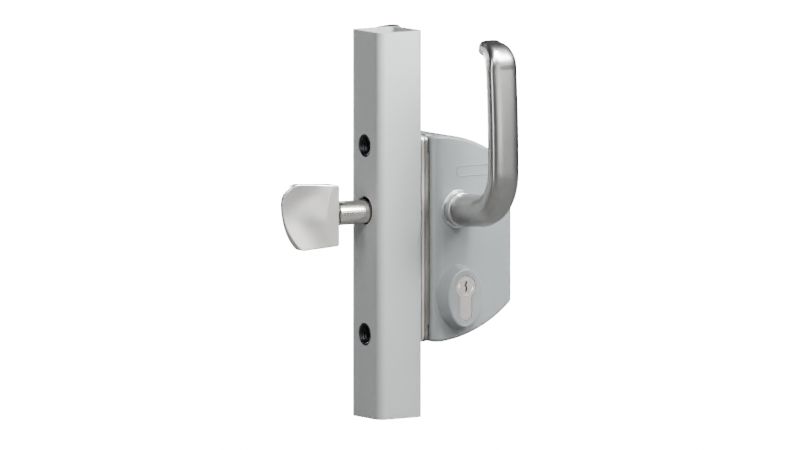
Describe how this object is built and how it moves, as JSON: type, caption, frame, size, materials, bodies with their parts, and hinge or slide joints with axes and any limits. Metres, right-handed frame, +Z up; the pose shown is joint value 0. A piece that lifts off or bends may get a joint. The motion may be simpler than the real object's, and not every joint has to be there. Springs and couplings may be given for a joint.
{
  "type": "sliding gate lock",
  "caption": "Surface-mounted sliding gate lock on a short square upright: a rotating blade bolt, bent lever handles front and back and a profile cylinder.",
  "frame": {"origin": "middle of the upright's lower cut end", "axes": "+X along the gate from the bolt head to the lock case, +Y from the gate's front to its back, +Z up along the upright"},
  "size_m": [0.1901, 0.1836, 0.29],
  "materials": {
    "upright_paint": "smooth light grey powder coat",
    "black_steel": "black oxide",
    "zinc_steel": "bright zinc plated",
    "bright_plate": "brushed stainless steel",
    "gasket_rubber": "matte black rubber",
    "cover_paint": "satin aluminium-grey powder coat",
    "rose_metal": "satin, bright rim",
    "bronze": "sintered bronze",
    "handle_metal": "satin brushed",
    "spring_steel": "oiled spring steel",
    "polished_steel": "polished stainless steel",
    "cast_stainless": "satin cast stainless steel",
    "nickel_brass": "satin nickel plated brass",
    "bare_brass": "bare brass"
  },
  "bodies": {
    "lock_on_upright": {"gate_upright": "upright_paint", "fixing_sleeves": "black_steel", "fixing_bolts": "black_steel", "fixing_nuts": "zinc_steel", "mounting_plate": "bright_plate", "gasket": "gasket_rubber", "case_body": "zinc_steel", "case_lid": "zinc_steel", "case_spacers": "zinc_steel", "case_screws": "zinc_steel", "front_cover": "cover_paint", "back_cover": "cover_paint", "cover_screws": "zinc_steel", "front_rose": "rose_metal", "back_rose": "rose_metal", "front_hub_bush": "bronze", "back_hub_bush": "bronze", "rack_guides": "bronze", "return_spring": "spring_steel", "bolt_bush": "bronze", "cylinder_body": "nickel_brass", "cylinder_screw": "zinc_steel", "driver_pins": "bare_brass", "pin_springs": "spring_steel", "slide_pins": "zinc_steel"},
    "handle": {"front_handle": "handle_metal", "back_handle": "handle_metal", "handle_grub_screws": "black_steel", "spindle": "zinc_steel", "follower": "zinc_steel"},
    "rack_bar": {"rack": "zinc_steel"},
    "bolt": {"bolt_rod": "polished_steel", "bolt_circlip": "spring_steel", "bolt_pinion": "zinc_steel", "bolt_nut": "zinc_steel", "bolt_head": "cast_stainless", "head_pin": "cast_stainless"},
    "plug": {"front_plug": "nickel_brass", "back_plug": "nickel_brass", "key_pins": "bare_brass", "cylinder_cam": "zinc_steel"},
    "slide": {"deadlock_slide": "zinc_steel"}
  },
  "joints": [
    {"name": "handle_turn", "type": "hinge", "parent": "lock_on_upright", "child": "handle", "pos_m": [0.0475, 0, 0.155], "axis": [0, 1, 0], "range_deg": [0, 60]},
    {"name": "rack_lift", "type": "slide", "parent": "lock_on_upright", "child": "rack_bar", "axis": [0, 0, 1], "range_m": [0, 0.0126], "stiffness_N_per_m": 1500, "springref_m": -0.012, "deforming": ["return_spring"]},
    {"name": "bolt_turn", "type": "hinge", "parent": "lock_on_upright", "child": "bolt", "pos_m": [0, 0, 0.155], "axis": [1, 0, 0], "range_deg": [0, 90.1]},
    {"name": "plug_turn", "type": "hinge", "parent": "lock_on_upright", "child": "plug", "pos_m": [0.0475, 0, 0.097], "axis": [0, 1, 0], "range_deg": [0, 360]},
    {"name": "deadlock_slide", "type": "slide", "parent": "lock_on_upright", "child": "slide", "axis": [-1, 0, 0], "range_m": [0, 0.00551]}
  ],
  "couplings": [
    {"joint": "rack_lift", "follows": "handle_turn", "m_per_rad": 0.012},
    {"joint": "bolt_turn", "follows": "handle_turn", "ratio": 1.5},
    {"joint": "deadlock_slide", "follows": "plug_turn", "m_per_rad": 0.00087535}
  ]
}
